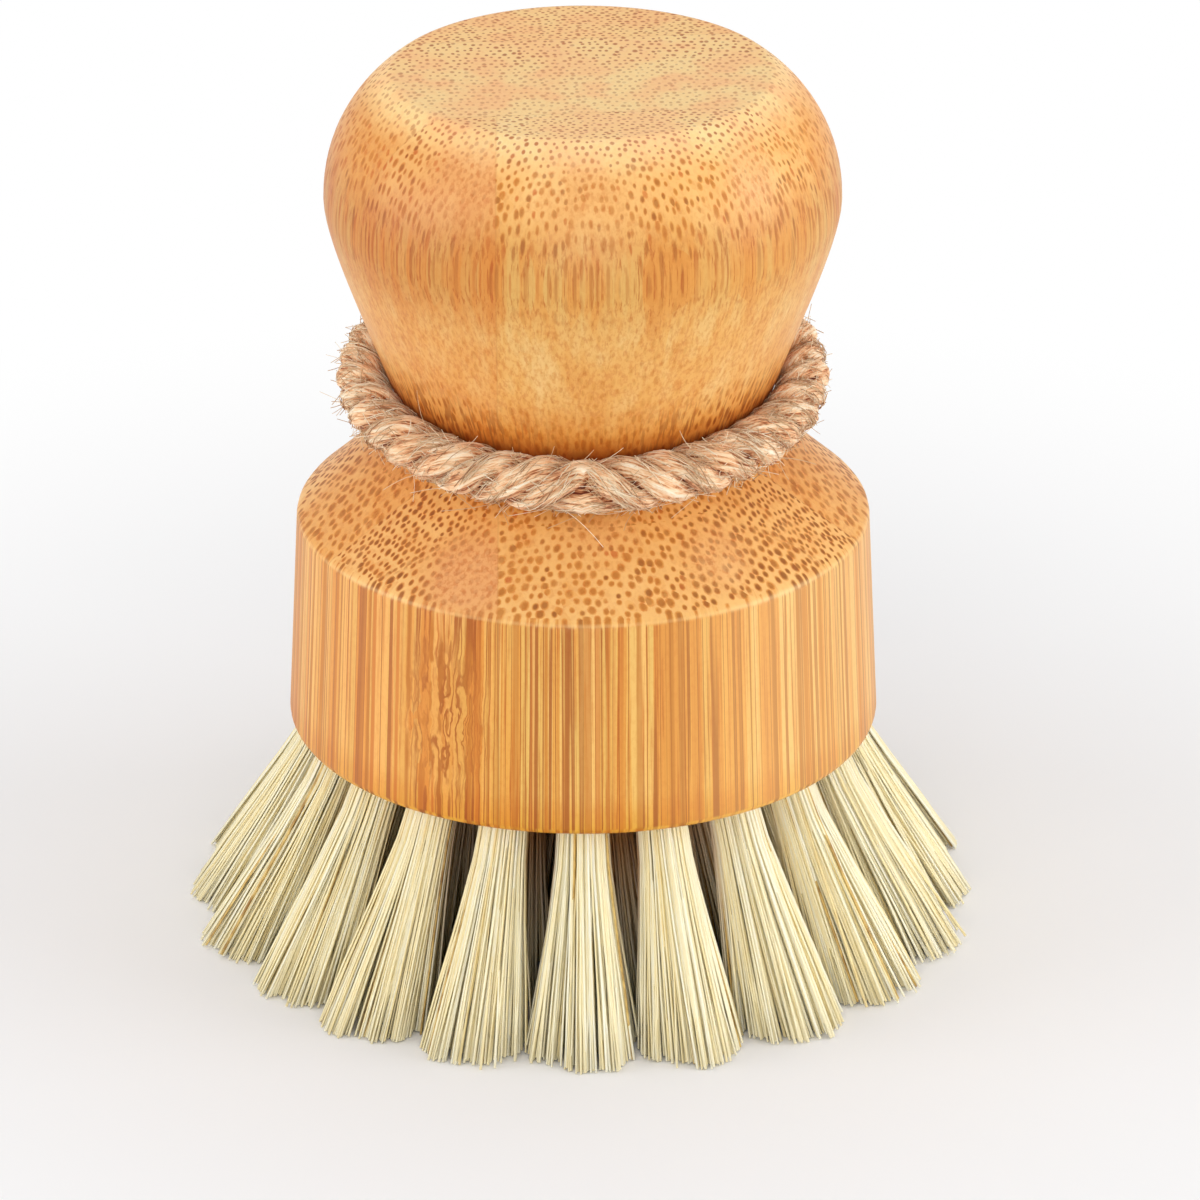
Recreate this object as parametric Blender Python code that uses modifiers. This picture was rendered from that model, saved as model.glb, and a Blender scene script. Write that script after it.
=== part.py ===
"""Palm dish brush: a turned bamboo block, splayed tufts of plant fibre and a twine loop round the neck.

Metres, +Z up. The origin lies on the turning axis, in the plane of the trimmed bristle tips,
so the brush stands on z = 0 with its front towards -Y.
"""
import math
import random

import bmesh
import bpy
from mathutils import Matrix, Vector

# Block, turned from laminated bamboo. Heights run from one landmark of the outline to the next
BRISTLE_HEIGHT = 0.0230
FOOT_RADIUS = 0.0318
FOOT_ROUND = 0.0025
BASE_HEIGHT = 0.0235
RIM_RADIUS = 0.0307
SHOULDER_HEIGHT = 0.0111
WAIST_RADIUS = 0.0194
WAIST_ROUND = 0.0010
NECK_HEIGHT = 0.0248
KNOB_RADIUS = 0.0273
DOME_HEIGHT = 0.0138
TOP_RADIUS = 0.0200

# How far each curved stretch keeps the direction of its end, as a share of its own height
WAIST_HOLD = 0.12
BELLY_HOLD = 0.20
DOME_HOLD = 0.70
SHOULDER_HOLD = 0.62

# Tufts, set in blind holes that are drilled on splayed axes
HOLE_DEPTH = 0.0095
ROOT_RADIUS = 0.0025
ROOT_CLEARANCE = 0.0003
ROOT_STICK_OUT = 0.0004
CORE_RADIUS = 0.0013
LOCK_GAP = 0.0003
LOCK_SWELL = 1.25
FAN_OUT = 2.55
TIP_SCATTER = 0.0003

OUTER_COUNT = 20
OUTER_RADIUS = 0.0262
OUTER_DRILL_TILT = math.radians(21)
OUTER_SPREAD = math.radians(25.5)

MIDDLE_COUNT = 13
MIDDLE_RADIUS = 0.0176
MIDDLE_DRILL_TILT = math.radians(14)
MIDDLE_SPREAD = math.radians(17)

INNER_COUNT = 7
INNER_RADIUS = 0.0094
INNER_DRILL_TILT = math.radians(7)
INNER_SPREAD = math.radians(9)

# Twine loop: snug on the neck, low in front where it lies on the shoulder, knotted at the back
TWINE_DIAMETER = 0.0056
TWINE_CLEARANCE = 0.0004
TWINE_LIFT = 0.0012
TWINE_TILT = math.radians(6.5)
KNOT_WIDTH = 0.0125
KNOT_DEPTH = 0.0090
KNOT_HEIGHT = 0.0100
TAIL_LENGTH = 0.0110
TAIL_DIAMETER = 0.0048
TAIL_LEAN = math.radians(38)

# Fineness of the facets
BLOCK_SIDES = 56
CURVE_STEPS = 8
SHORT_CURVE_STEPS = 6
FOOT_STEPS = 3
HOLE_SIDES = 12
ROOT_SIDES = 6
TWINE_POINTS = 36
KNOT_SEGMENTS = 12
KNOT_RINGS = 8
TAIL_SIDES = 8

UNDERSIDE = BRISTLE_HEIGHT
RIM_Z = UNDERSIDE + BASE_HEIGHT
WAIST_Z = RIM_Z + SHOULDER_HEIGHT
BELLY_Z = WAIST_Z + NECK_HEIGHT
TOP_Z = BELLY_Z + DOME_HEIGHT


def clear_scene():
    """Remove whatever the file was opened with."""
    for thing in list(bpy.data.objects):
        bpy.data.objects.remove(thing, do_unlink=True)


def new_collection(name):
    """Add a collection under the scene's own."""
    collection = bpy.data.collections.new(name)
    bpy.context.scene.collection.children.link(collection)
    return collection


def new_material(name, colour, roughness):
    """Add a plain dielectric material with the piece's colour."""
    material = bpy.data.materials.new(name)
    material.use_nodes = True
    shader = material.node_tree.nodes["Principled BSDF"]
    shader.inputs["Base Color"].default_value = (*colour, 1.0)
    shader.inputs["Roughness"].default_value = roughness
    shader.inputs["Metallic"].default_value = 0.0
    material.diffuse_color = (*colour, 1.0)
    return material


def add_object(name, data, collection, material=None, parent=None):
    """Link a new object into a collection, with its material and its parent."""
    thing = bpy.data.objects.new(name, data)
    collection.objects.link(thing)
    if material is not None:
        thing.data.materials.append(material)
    if parent is not None:
        thing.parent = parent
    return thing


def finish_mesh(bm, name, smooth_angle=None):
    """Turn a bmesh into a mesh, shaded smooth below an angle where one is given."""
    mesh = bpy.data.meshes.new(name)
    bm.to_mesh(mesh)
    bm.free()
    if smooth_angle is not None:
        mesh.shade_smooth()
        mesh.set_sharp_from_angle(angle=smooth_angle)
    return mesh


def curve_points(start, leave, arrive, end, steps):
    """Points of a cubic stretch after its start, so that one stretch can follow another."""
    points = []
    for step in range(1, steps + 1):
        t = step / steps
        s = 1.0 - t
        points.append(start * s ** 3 + leave * 3 * s * s * t + arrive * 3 * s * t * t + end * t ** 3)
    return points


def neck_outline():
    """The neck from the knob's widest ring down to the waist, as (radius, z) pairs."""
    widest = Vector((KNOB_RADIUS, BELLY_Z))
    waist = Vector((WAIST_RADIUS, WAIST_Z))
    leave = widest - Vector((0, BELLY_HOLD * NECK_HEIGHT))
    arrive = waist + Vector((0, WAIST_HOLD * NECK_HEIGHT))
    return curve_points(widest, leave, arrive, waist, CURVE_STEPS)


def block_outline():
    """The turned outline, from the middle of the flat top down the outside to the underside's middle."""
    top_edge = Vector((TOP_RADIUS, TOP_Z))
    widest = Vector((KNOB_RADIUS, BELLY_Z))
    dome_hold = widest + Vector((0, DOME_HOLD * DOME_HEIGHT))
    waist = Vector((WAIST_RADIUS, WAIST_Z))
    corner = waist - Vector((0, WAIST_ROUND))
    rim = Vector((RIM_RADIUS, RIM_Z))
    shoulder_hold = rim.lerp(corner, 1.0 - SHOULDER_HOLD)
    outline = [Vector((0, TOP_Z)), top_edge]
    outline += curve_points(top_edge, top_edge, dome_hold, widest, CURVE_STEPS)
    outline += neck_outline()
    outline += curve_points(waist, corner, shoulder_hold, rim, SHORT_CURVE_STEPS)
    for step in range(FOOT_STEPS + 1):
        turn = math.radians(90) * step / FOOT_STEPS
        outline.append(Vector((FOOT_RADIUS - FOOT_ROUND * (1 - math.cos(turn)),
                               UNDERSIDE + FOOT_ROUND * (1 - math.sin(turn)))))
    outline.append(Vector((0, UNDERSIDE)))
    return outline


def neck_radius(z):
    """Radius of the turned neck at a height, read between the points of its outline."""
    points = [Vector((KNOB_RADIUS, BELLY_Z))] + neck_outline()
    for upper, lower in zip(points, points[1:]):
        if lower.y <= z <= upper.y:
            share = (z - lower.y) / (upper.y - lower.y)
            return lower.x + share * (upper.x - lower.x)
    return WAIST_RADIUS if z < WAIST_Z else KNOB_RADIUS


def tuft_rings():
    """Each ring of tufts: name, count, radius at the underside, drill tilt and spread of the bristles."""
    return (
        ("outer", OUTER_COUNT, OUTER_RADIUS, OUTER_DRILL_TILT, OUTER_SPREAD),
        ("middle", MIDDLE_COUNT, MIDDLE_RADIUS, MIDDLE_DRILL_TILT, MIDDLE_SPREAD),
        ("inner", INNER_COUNT, INNER_RADIUS, INNER_DRILL_TILT, INNER_SPREAD),
        ("centre", 1, 0.0, 0.0, 0.0),
    )


def tuft_seats():
    """Every hole's name, its place as a matrix with +X outwards, its drill tilt and its spread."""
    seats = []
    for ring, count, radius, tilt, spread in tuft_rings():
        for number in range(count):
            turn = Matrix.Rotation(2 * math.pi * number / count, 4, "Z")
            place = turn @ Matrix.Translation((radius, 0, UNDERSIDE))
            name = f"tuft_{ring}" if count == 1 else f"tuft_{ring}_{number + 1:02d}"
            seats.append((name, place, tilt, spread))
    return seats


def drill_frame(tilt):
    """Frame of a drilled hole at its mouth: +Z runs into the wood, leaning towards the axis."""
    return Matrix.Rotation(-tilt, 4, "Y")


def build_hole_cutter(collection):
    """All the drilled holes as one cutter, each a straight bore that starts below the underside."""
    bm = bmesh.new()
    run_in = HOLE_DEPTH / 2
    for _, place, tilt, _ in tuft_seats():
        matrix = place @ drill_frame(tilt) @ Matrix.Translation((0, 0, HOLE_DEPTH / 2 - run_in / 2))
        bmesh.ops.create_cone(bm, cap_ends=True, segments=HOLE_SIDES,
                              radius1=ROOT_RADIUS + ROOT_CLEARANCE, radius2=ROOT_RADIUS + ROOT_CLEARANCE,
                              depth=HOLE_DEPTH + run_in, matrix=matrix)
    cutter = add_object("tuft_hole_cutter", finish_mesh(bm, "tuft_hole_cutter"), collection)
    cutter.hide_render = True
    cutter.display_type = "WIRE"
    return cutter


def build_block(collection, cutter, material, parent):
    """The block, knob, neck and base in one piece, turned and then drilled from below."""
    outline = block_outline()
    mesh = bpy.data.meshes.new("bamboo_block")
    mesh.from_pydata([(p.x, 0, p.y) for p in outline],
                     [(n, n + 1) for n in range(len(outline) - 1)], [])
    block = add_object("bamboo_block", mesh, collection, material, parent)
    turning = block.modifiers.new("turning", "SCREW")
    turning.steps = BLOCK_SIDES
    turning.render_steps = BLOCK_SIDES
    turning.use_merge_vertices = True
    turning.merge_threshold = 0.0001
    turning.use_smooth_shade = True
    drilling = block.modifiers.new("drilling", "BOOLEAN")
    drilling.operation = "DIFFERENCE"
    drilling.solver = "EXACT"
    drilling.object = cutter
    return block


def split_into_locks(bm, end_face):
    """Divide the root's end into six outer cells round four inner ones, parted by narrow grooves."""
    apothem = math.cos(math.pi / ROOT_SIDES)
    ring = bmesh.ops.inset_region(bm, faces=[end_face], use_even_offset=True,
                                  thickness=(ROOT_RADIUS - CORE_RADIUS) * apothem)
    corners = list(end_face.verts)
    for first, second in ((0, 2), (2, 4), (4, 0)):
        shared = set(corners[first].link_faces) & set(corners[second].link_faces)
        core = max(shared, key=lambda face: len(face.verts))
        bmesh.utils.face_split(core, corners[first], corners[second])
    inner = {face for corner in corners for face in corner.link_faces
             if all(vert in corners for vert in face.verts)}
    cells = sorted(set(ring["faces"]) | inner, key=lambda face: face.calc_center_median().to_tuple(6))
    bmesh.ops.inset_individual(bm, faces=cells, thickness=LOCK_GAP / 2, use_even_offset=True)
    return cells


def build_tuft(name, place, tilt, spread, scatter, collection, material, parent):
    """One tuft: a folded root that fills its hole, and ten locks of bristle that fan out from it.

    The locks run straight from the root to the trimming plane, where they are cut flat,
    and their places there are the root's own pattern spread wider, so none crosses another.
    """
    bm = bmesh.new()
    seated = HOLE_DEPTH - ROOT_CLEARANCE
    bmesh.ops.create_cone(bm, cap_ends=True, segments=ROOT_SIDES, radius1=ROOT_RADIUS,
                          radius2=ROOT_RADIUS, depth=seated + ROOT_STICK_OUT,
                          matrix=Matrix.Translation((0, 0, (seated - ROOT_STICK_OUT) / 2)))
    end_face = min(bm.faces, key=lambda face: face.calc_center_median().z)
    cells = split_into_locks(bm, end_face)
    tips = bmesh.ops.extrude_discrete_faces(bm, faces=cells)["faces"]
    reach = Vector((math.tan(spread) * BRISTLE_HEIGHT, 0, -BRISTLE_HEIGHT))
    landed = {}
    for tip in tips:
        middle = tip.calc_center_median()
        drift = Vector((scatter.uniform(-1, 1), scatter.uniform(-1, 1), 0)) * TIP_SCATTER
        for vert in tip.verts:
            spot = middle * FAN_OUT + (vert.co - middle) * LOCK_SWELL
            landed[vert] = reach + Vector((spot.x, spot.y, 0)) + (drift if spread else Vector())
    bmesh.ops.transform(bm, matrix=drill_frame(tilt), verts=bm.verts)
    for vert, spot in landed.items():
        vert.co = spot
    tuft = add_object(name, finish_mesh(bm, name), collection, material, parent)
    tuft.matrix_local = place
    return tuft


def twine_height(angle):
    """Height of the loop's centreline at an angle from +X: lowest at the front, highest at the back."""
    half_width = WAIST_RADIUS + TWINE_DIAMETER / 2
    return WAIST_Z + TWINE_LIFT + half_width * (1 + math.sin(angle)) * math.tan(TWINE_TILT)


def seat_radius(z, depth, height):
    """Radius at which a piece with an oval section, depth by height, just clears the flaring neck."""
    step = height / 4
    flare = (neck_radius(z + step) - neck_radius(z)) / step
    lean = math.atan(flare)
    thickness = math.hypot(depth / 2 * math.cos(lean), height / 2 * math.sin(lean))
    return neck_radius(z) + (thickness + TWINE_CLEARANCE) / math.cos(lean)


def twine_point(angle):
    """Centreline point of the loop at an angle from +X, just clear of the neck."""
    z = twine_height(angle)
    radius = seat_radius(z, TWINE_DIAMETER, TWINE_DIAMETER)
    return Vector((radius * math.cos(angle), radius * math.sin(angle), z))


def build_twine_loop(collection, material, parent):
    """The twine itself, from one side of the knot round the front to the other."""
    back = twine_point(math.pi / 2)
    half_knot = math.asin((KNOT_WIDTH / 2 + TWINE_CLEARANCE) / back.y)
    first = math.pi / 2 + half_knot
    sweep = 2 * math.pi - 2 * half_knot
    curve = bpy.data.curves.new("twine_loop", "CURVE")
    curve.dimensions = "3D"
    curve.bevel_depth = TWINE_DIAMETER / 2
    curve.bevel_resolution = 2
    curve.use_fill_caps = True
    spline = curve.splines.new("POLY")
    spline.points.add(TWINE_POINTS - 1)
    for number, point in enumerate(spline.points):
        point.co = (*twine_point(first + sweep * number / (TWINE_POINTS - 1)), 1.0)
    return add_object("twine_loop", curve, collection, material, parent)


def build_twine_knot(collection, cutters, material, parent):
    """The knot that closes the loop, a rounded lump with its two cut ends hanging from it."""
    height = twine_height(math.pi / 2)
    centre = Vector((0, seat_radius(height, KNOT_DEPTH, KNOT_HEIGHT), height))
    bm = bmesh.new()
    size = Matrix.Diagonal((KNOT_WIDTH / 2, KNOT_DEPTH / 2, KNOT_HEIGHT / 2, 1))
    bmesh.ops.create_uvsphere(bm, u_segments=KNOT_SEGMENTS, v_segments=KNOT_RINGS, radius=1.0, matrix=size)
    knot = add_object("twine_knot", finish_mesh(bm, "twine_knot", math.radians(60)), collection, material,
                      parent)
    knot.location = centre
    for side in (-1, 1):
        bm = bmesh.new()
        lean = Matrix.Rotation(-side * TAIL_LEAN, 4, "Y") @ Matrix.Rotation(TAIL_LEAN / 2, 4, "X")
        hang = Matrix.Translation((0, 0, -TAIL_LENGTH / 2))
        bmesh.ops.create_cone(bm, cap_ends=True, segments=TAIL_SIDES, radius1=TAIL_DIAMETER / 2,
                              radius2=TAIL_DIAMETER / 2, depth=TAIL_LENGTH, matrix=lean @ hang)
        label = "left" if side < 0 else "right"
        tail = add_object(f"{label}_tail", finish_mesh(bm, f"{label}_tail"), cutters)
        tail.location = centre
        tail.hide_render = True
        tail.display_type = "WIRE"
        joining = knot.modifiers.new(f"{label}_tail", "BOOLEAN")
        joining.operation = "UNION"
        joining.solver = "EXACT"
        joining.object = tail
    return knot


def build_brush():
    """Build every piece of the brush in its own node."""
    clear_scene()
    parts = new_collection("dish_brush")
    cutters = new_collection("cutters")
    bamboo = new_material("bamboo", (0.80, 0.42, 0.12), 0.45)
    bristle = new_material("plant_fibre", (0.79, 0.68, 0.42), 0.70)
    twine = new_material("jute_twine", (0.58, 0.38, 0.22), 0.90)

    axis = add_object("dish_brush_axis", None, parts)
    twine_pivot = add_object("twine_pivot", None, parts, parent=axis)
    build_block(parts, build_hole_cutter(cutters), bamboo, axis)
    scatter = random.Random(20)
    for name, place, tilt, spread in tuft_seats():
        build_tuft(name, place, tilt, spread, scatter, parts, bristle, axis)
    build_twine_loop(parts, twine, twine_pivot)
    build_twine_knot(parts, cutters, twine, twine_pivot)


build_brush()
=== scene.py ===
"""Looks of a palm dish brush: turned bamboo, splayed tufts of plant fibre and a jute twine loop."""
import functools
import logging
import math
from dataclasses import dataclass, field
from enum import Enum
from typing import Any, Callable, Iterator, Sequence

import bpy
import numpy as np
from mathutils import Matrix, Vector


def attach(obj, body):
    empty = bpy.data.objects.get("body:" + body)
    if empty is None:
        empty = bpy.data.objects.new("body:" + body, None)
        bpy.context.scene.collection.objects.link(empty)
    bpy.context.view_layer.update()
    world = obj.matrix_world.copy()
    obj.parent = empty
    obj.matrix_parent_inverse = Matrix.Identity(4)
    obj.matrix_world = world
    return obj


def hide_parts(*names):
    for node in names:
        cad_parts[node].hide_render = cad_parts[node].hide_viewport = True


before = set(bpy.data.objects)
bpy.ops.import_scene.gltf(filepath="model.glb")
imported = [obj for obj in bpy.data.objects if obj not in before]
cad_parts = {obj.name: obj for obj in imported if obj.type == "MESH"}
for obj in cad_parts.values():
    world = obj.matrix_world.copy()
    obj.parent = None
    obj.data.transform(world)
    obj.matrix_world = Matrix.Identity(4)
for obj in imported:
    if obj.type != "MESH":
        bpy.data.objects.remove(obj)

log = logging.getLogger("dish_brush")

MM = 0.001

# The kinds of shader node: the type, and the settings that each has wherever it is used
Kind = tuple[str, dict[str, str]]
ABSOLUTE: Kind = ("ShaderNodeMath", {"operation": "ABSOLUTE"})
ADD: Kind = ("ShaderNodeMath", {"operation": "ADD"})
DIVIDE: Kind = ("ShaderNodeMath", {"operation": "DIVIDE"})
GREATER: Kind = ("ShaderNodeMath", {"operation": "GREATER_THAN"})
MAXIMUM: Kind = ("ShaderNodeMath", {"operation": "MAXIMUM"})
MINIMUM: Kind = ("ShaderNodeMath", {"operation": "MINIMUM"})
MULTIPLY: Kind = ("ShaderNodeMath", {"operation": "MULTIPLY"})
MULTIPLY_ADD: Kind = ("ShaderNodeMath", {"operation": "MULTIPLY_ADD"})
PINGPONG: Kind = ("ShaderNodeMath", {"operation": "PINGPONG"})
SUBTRACT: Kind = ("ShaderNodeMath", {"operation": "SUBTRACT"})
TURN: Kind = ("ShaderNodeMath", {"operation": "ARCTAN2"})
APART: Kind = ("ShaderNodeVectorMath", {"operation": "SUBTRACT"})
DISTANCE: Kind = ("ShaderNodeVectorMath", {"operation": "DISTANCE"})
LENGTH: Kind = ("ShaderNodeVectorMath", {"operation": "LENGTH"})
MOVE: Kind = ("ShaderNodeVectorMath", {"operation": "ADD"})
SCALE: Kind = ("ShaderNodeVectorMath", {"operation": "SCALE"})
STRETCH: Kind = ("ShaderNodeVectorMath", {"operation": "MULTIPLY"})
BETWEEN: Kind = ("ShaderNodeMix", {})
BLEND: Kind = ("ShaderNodeMix", {"data_type": "RGBA"})
TINT: Kind = ("ShaderNodeMix", {"data_type": "RGBA", "blend_type": "MULTIPLY"})
RANGE: Kind = ("ShaderNodeMapRange", {})
SMOOTH: Kind = ("ShaderNodeMapRange", {"interpolation_type": "SMOOTHSTEP"})
RAMP: Kind = ("ShaderNodeValToRGB", {})
MAPPING: Kind = ("ShaderNodeMapping", {})
NOISE: Kind = ("ShaderNodeTexNoise", {})
CELLS: Kind = ("ShaderNodeTexVoronoi", {"voronoi_dimensions": "2D"})
JOIN: Kind = ("ShaderNodeCombineXYZ", {})
SPLIT: Kind = ("ShaderNodeSeparateXYZ", {})
SPLIT_COLOUR: Kind = ("ShaderNodeSeparateColor", {})
BUMP: Kind = ("ShaderNodeBump", {})
COORDINATES: Kind = ("ShaderNodeTexCoord", {})
TONE: Kind = ("ShaderNodeAttribute", {"attribute_name": "tone"})
CHART: Kind = ("ShaderNodeUVMap", {"uv_map": "UVMap"})
LIGHT_PATH: Kind = ("ShaderNodeLightPath", {})
EMISSION: Kind = ("ShaderNodeEmission", {})
MIX_SHADER: Kind = ("ShaderNodeMixShader", {})


class Body(Enum):
    """The bodies that pieces ride on."""

    BRUSH = "brush"
    TWINE = "twine"


class Slot(Enum):
    """The record's material slots."""

    BAMBOO = "bamboo"
    BRISTLE = "plant_fibre"
    JUTE = "jute_twine"


def linear(hex_colour: str) -> tuple[float, float, float, float]:
    """Turn an sRGB hex colour into linear light.

    Args:
        hex_colour: The colour as a hash sign and six hex digits.

    Returns:
        Red, green, blue and alpha for a shader socket.
    """
    shares = [int(hex_colour[n:n + 2], 16) / 255 for n in (1, 3, 5)]
    light = [s / 12.92 if s <= 0.04045 else ((s + 0.055) / 1.055) ** 2.4 for s in shares]
    return (light[0], light[1], light[2], 1.0)


def fill(node: bpy.types.Node, *values: Any) -> None:
    """Give a node's sockets their values and links.

    Args:
        node: The node.
        *values: What its live sockets take, in order. A dict at the end gives more of them by name. A
            node stands for its first live output, and text for a hex colour.
    """
    live = [socket for socket in node.inputs if socket.enabled]
    given = dict(enumerate(values))
    if values and isinstance(values[-1], dict):
        given |= given.pop(len(values) - 1)
    for key, value in given.items():
        socket = live[key] if isinstance(key, int) else next(s for s in live if s.name == key)
        if isinstance(value, bpy.types.Node):
            value = next(output for output in value.outputs if output.enabled)
        if isinstance(value, bpy.types.NodeSocket):
            node.id_data.links.new(value, socket)
        else:
            socket.default_value = linear(value) if isinstance(value, str) else value


def add_node(tree: bpy.types.NodeTree, kind: Kind, *values: Any,
             stops: Sequence[tuple[float, str]] = (), **settings: Any) -> bpy.types.Node:
    """Add one shader node with its settings, its values and its links.

    Args:
        tree: The node tree that takes the node.
        kind: The node's type and the settings of its kind.
        *values: What its sockets take, as fill reads it.
        stops: Places and hex colours of a colour ramp.
        **settings: The node's own properties.

    Returns:
        The new node.
    """
    type_name, always = kind
    node = tree.nodes.new(type_name)
    for name, value in {**always, **settings}.items():
        setattr(node, name, value)
    if stops:
        ramp = node.color_ramp
        while len(ramp.elements) < len(stops):
            ramp.elements.new(1.0)
        for element, (place, colour) in zip(ramp.elements, stops):
            element.position, element.color = place, linear(colour)
    fill(node, *values)
    return node


def new_material(name: str) -> tuple[bpy.types.Material, Callable[..., bpy.types.Node], bpy.types.Node]:
    """Add a material with a Principled shader.

    Args:
        name: The material's name.

    Returns:
        The material, add_node for its tree, and its shader.
    """
    material = bpy.data.materials.new(name)
    material.use_nodes = True
    tree = material.node_tree
    return material, functools.partial(add_node, tree), tree.nodes["Principled BSDF"]


def deselect_all() -> None:
    """Leave nothing selected, because an operator acts on all that is selected."""
    if bpy.context.object is not None and bpy.context.object.mode != "OBJECT":
        bpy.ops.object.mode_set(mode="OBJECT")
    bpy.ops.object.select_all(action="DESELECT")


def dress(piece: bpy.types.Object, material: bpy.types.Material, slot: Slot, body: Body,
          *nodes: str) -> bpy.types.Object:
    """Give a finished piece its material and its body, and hide the CAD nodes that it replaces.

    Args:
        piece: The finished piece.
        material: Its material.
        slot: The record's slot; not used.
        body: The body that it rides on.
        *nodes: The CAD nodes that it replaces.

    Returns:
        The piece.
    """
    piece.data.materials.clear()
    piece.data.materials.append(material)
    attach(piece, body.value)
    if nodes:
        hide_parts(*nodes)
    log.info("%s: %d faces, on %s", piece.name, len(piece.data.polygons), body.value)
    return piece


def unit(vectors: np.ndarray) -> np.ndarray:
    """Scale vectors along the last axis to length one."""
    return vectors / np.maximum(np.linalg.norm(vectors, axis=-1, keepdims=True), 1e-12)


def square_to(vectors: np.ndarray, axis: np.ndarray) -> np.ndarray:
    """Turn vectors square to an axis of length one, and scale them to length one."""
    return unit(vectors - (vectors * axis).sum(-1, keepdims=True) * axis)


def cubic(start: Any, leave: Any, arrive: Any, end: Any, t: Any) -> Any:
    """Walk a cubic curve from its start to its end: t is the share of the way."""
    s = 1 - t
    return start * s ** 3 + leave * 3 * s * s * t + arrive * 3 * s * t * t + end * t ** 3


def even_spacing(points: np.ndarray, step: float) -> np.ndarray:
    """Space the points of a line evenly along it.

    Args:
        points: The line's points, one a row.
        step: The wished spacing in metres.

    Returns:
        The evenly spaced points.
    """
    along = np.r_[0, np.cumsum(np.linalg.norm(np.diff(points, axis=0), axis=1))]
    places = np.linspace(0, along[-1], max(int(round(along[-1] / step)), 2) + 1)
    return np.stack([np.interp(places, along, points[:, axis]) for axis in range(3)], axis=1)


def smooth_through(points: Sequence[Sequence[float]], step: float) -> np.ndarray:
    """Lay a smooth line through a few points.

    Args:
        points: The points that the line passes through, in metres.
        step: The spacing of its points in metres.

    Returns:
        The line's points, evenly spaced.
    """
    given = np.asarray(points, dtype=float)
    padded = np.vstack([2 * given[0] - given[1], given, 2 * given[-1] - given[-2]])
    t = np.linspace(0, 1, 20, endpoint=False)[:, None]
    spans = [0.5 * (2 * b + (c - a) * t + (2 * a - 5 * b + 4 * c - d) * t ** 2
                    + (3 * b - a - 3 * c + d) * t ** 3)
             for a, b, c, d in zip(padded, padded[1:], padded[2:], padded[3:])]
    return even_spacing(np.vstack([*spans, given[-1:]]), step)


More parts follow.
